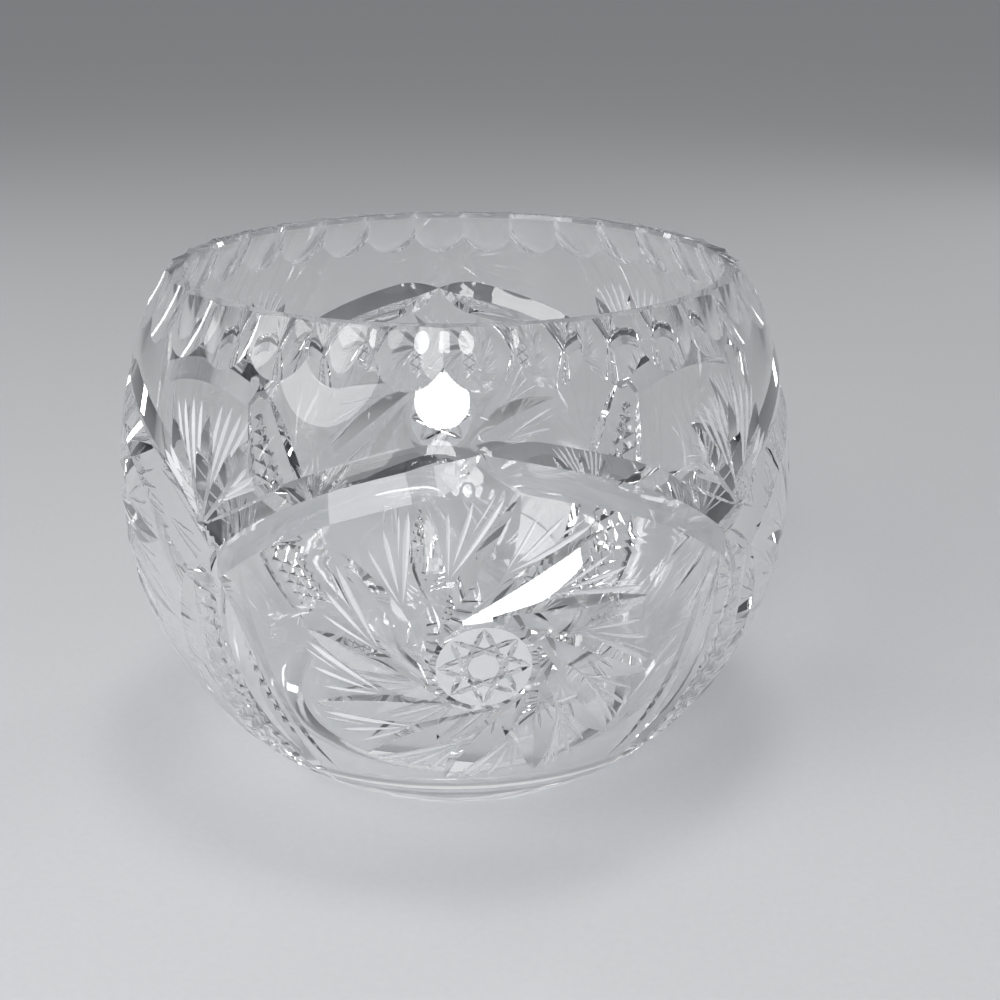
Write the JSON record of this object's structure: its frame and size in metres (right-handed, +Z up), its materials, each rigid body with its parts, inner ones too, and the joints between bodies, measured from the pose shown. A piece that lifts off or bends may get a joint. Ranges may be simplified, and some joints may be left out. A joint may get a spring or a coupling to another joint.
{
  "type": "rose bowl vase",
  "caption": "Round clear cut crystal rose bowl with a drawn-in open mouth, a fluted rim, pointed arches over pinwheel stars and a flat base.",
  "frame": {"origin": "middle of the flat base, on the surface that the bowl stands on", "axes": "+Z up along the bowl's axis; -Y is the front, under the point of one arch of the cut pattern"},
  "size_m": [0.1798, 0.1798, 0.135],
  "materials": {
    "crystal": "polished clear lead crystal, wheel cut outside"
  },
  "bodies": {
    "root": {"bowl": "crystal"}
  },
  "joints": []
}
